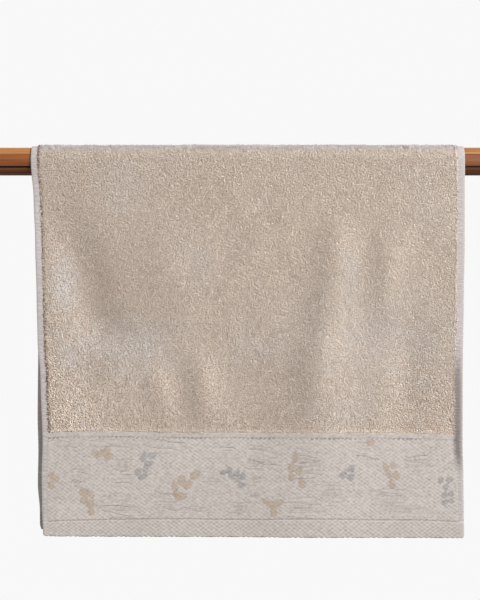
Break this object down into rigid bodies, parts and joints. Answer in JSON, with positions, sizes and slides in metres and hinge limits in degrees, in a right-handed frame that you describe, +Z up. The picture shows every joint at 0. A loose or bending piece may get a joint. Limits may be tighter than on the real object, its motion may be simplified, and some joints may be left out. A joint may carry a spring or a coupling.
{
  "type": "hand towel over a wooden pole",
  "caption": "Terry hand towel with a patterned border band and flat hems, hung in soft folds over a plain round wooden pole.",
  "frame": {"origin": "centre of the pole's left end face", "axes": "+X along the pole, towards its right end; -Y is the towel's front; +Z is up"},
  "size_m": [0.6, 0.0472, 0.4461],
  "materials": {
    "terry_cotton": "matte cotton terry, warm beige, with a paler flat band and hems",
    "varnished_wood": "streaky brown wood under a satin varnish"
  },
  "bodies": {
    "root": {"towel": "terry_cotton", "pole": "varnished_wood"}
  },
  "joints": []
}
